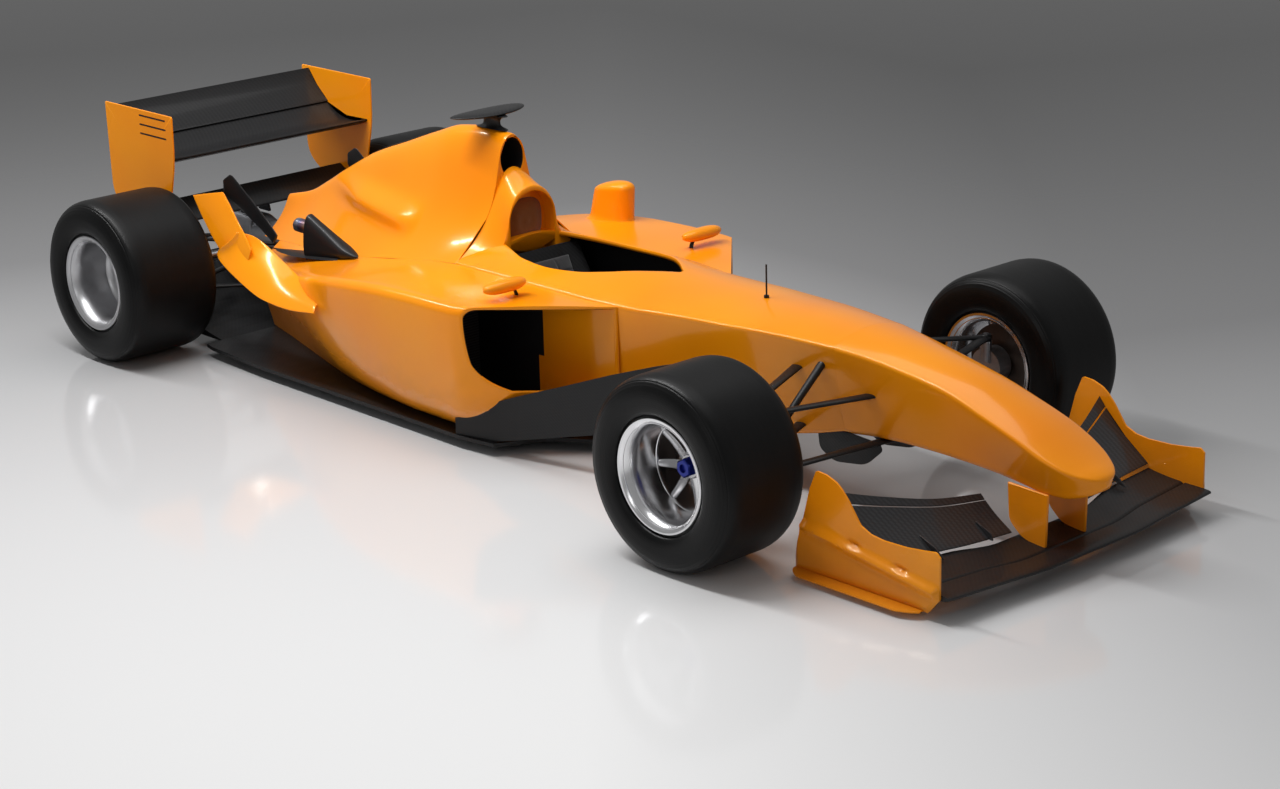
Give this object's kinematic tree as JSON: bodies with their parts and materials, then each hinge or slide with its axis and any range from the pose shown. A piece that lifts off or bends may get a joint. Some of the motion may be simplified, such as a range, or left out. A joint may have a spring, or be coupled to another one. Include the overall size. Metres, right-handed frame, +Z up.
{
  "type": "open wheel racing car",
  "caption": "Single-seat open-wheel racing car with raised nose, front and rear wings, sidepods, air intake over the cockpit and slick tyres on turning wheels.",
  "frame": {"origin": "on the ground under the middle of the car's length and width", "axes": "+X forward to the nose, +Y to the driver's left, +Z up; the tyres stand on z = 0"},
  "size_m": [4.64, 1.882, 1.04],
  "materials": {
    "body_orange": "gloss",
    "carbon_black": "satin",
    "flap_grey": "satin",
    "headrest_foam": "matte",
    "seat_black": "matte",
    "grip_black": "matte",
    "cast_metal": "satin",
    "rim_silver": "polished",
    "rim_grey": "satin",
    "tyre_rubber": "satin"
  },
  "bodies": {
    "chassis": {"monocoque": "body_orange", "nose_cone": "body_orange", "antenna": "carbon_black", "dash_bulkhead": "carbon_black", "seat": "seat_black", "head_fairing": "body_orange", "headrest": "headrest_foam", "engine_cover": "body_orange", "camera_wing": "carbon_black", "sidepod_left": "body_orange", "sidepod_right": "body_orange", "radiators": "cast_metal", "cooling_chimney": "body_orange", "mirrors": "body_orange", "exhausts": "carbon_black", "flip_ups": "body_orange", "floor_plate": "carbon_black", "diffuser": "carbon_black", "bargeboards": "carbon_black", "front_wing": "carbon_black", "front_wing_flaps": "flap_grey", "front_wing_endplates": "body_orange", "nose_pylons": "body_orange", "rear_wing": "carbon_black", "rear_wing_flap": "carbon_black", "beam_wing": "carbon_black", "rear_wing_endplates": "body_orange", "engine": "cast_metal", "gearbox": "cast_metal", "front_suspension": "carbon_black", "rear_uprights": "cast_metal", "rear_suspension": "carbon_black"},
    "steering_wheel": {"steering_wheel": "grip_black"},
    "front_upright_left": {"front_upright_left": "cast_metal"},
    "front_upright_right": {"front_upright_right": "cast_metal"},
    "front_wheel_left": {"front_tyre_left": "tyre_rubber", "front_rim_left": "rim_silver"},
    "front_wheel_right": {"front_tyre_right": "tyre_rubber", "front_rim_right": "rim_silver"},
    "rear_wheel_left": {"rear_tyre_left": "tyre_rubber", "rear_rim_left": "rim_grey", "driveshaft_left": "cast_metal"},
    "rear_wheel_right": {"rear_tyre_right": "tyre_rubber", "rear_rim_right": "rim_grey", "driveshaft_right": "cast_metal"}
  },
  "joints": [
    {"name": "left_steer", "type": "hinge", "parent": "chassis", "child": "front_upright_left", "pos_m": [1.33, 0.6, 0.316], "axis": [0, 0, 1], "range_deg": [-14, 14]},
    {"name": "right_steer", "type": "hinge", "parent": "chassis", "child": "front_upright_right", "pos_m": [1.33, -0.6, 0.316], "axis": [0, 0, 1], "range_deg": [-14, 14]},
    {"name": "steering_wheel_turn", "type": "hinge", "parent": "chassis", "child": "steering_wheel", "pos_m": [0.3, 0, 0.505], "axis": [-0.9397, 0, 0.342], "range_deg": [-113, 113]},
    {"name": "front_left_spin", "type": "hinge", "parent": "front_upright_left", "child": "front_wheel_left", "pos_m": [1.33, 0.763, 0.316], "axis": [0, 1, 0], "continuous": true},
    {"name": "front_right_spin", "type": "hinge", "parent": "front_upright_right", "child": "front_wheel_right", "pos_m": [1.33, -0.763, 0.316], "axis": [0, 1, 0], "continuous": true},
    {"name": "rear_left_spin", "type": "hinge", "parent": "chassis", "child": "rear_wheel_left", "pos_m": [-1.87, 0.7075, 0.316], "axis": [0, 1, 0], "continuous": true},
    {"name": "rear_right_spin", "type": "hinge", "parent": "chassis", "child": "rear_wheel_right", "pos_m": [-1.87, -0.7075, 0.316], "axis": [0, 1, 0], "continuous": true}
  ],
  "couplings": [
    {"joint": "right_steer", "follows": "left_steer", "ratio": 1},
    {"joint": "steering_wheel_turn", "follows": "left_steer", "ratio": 8}
  ]
}
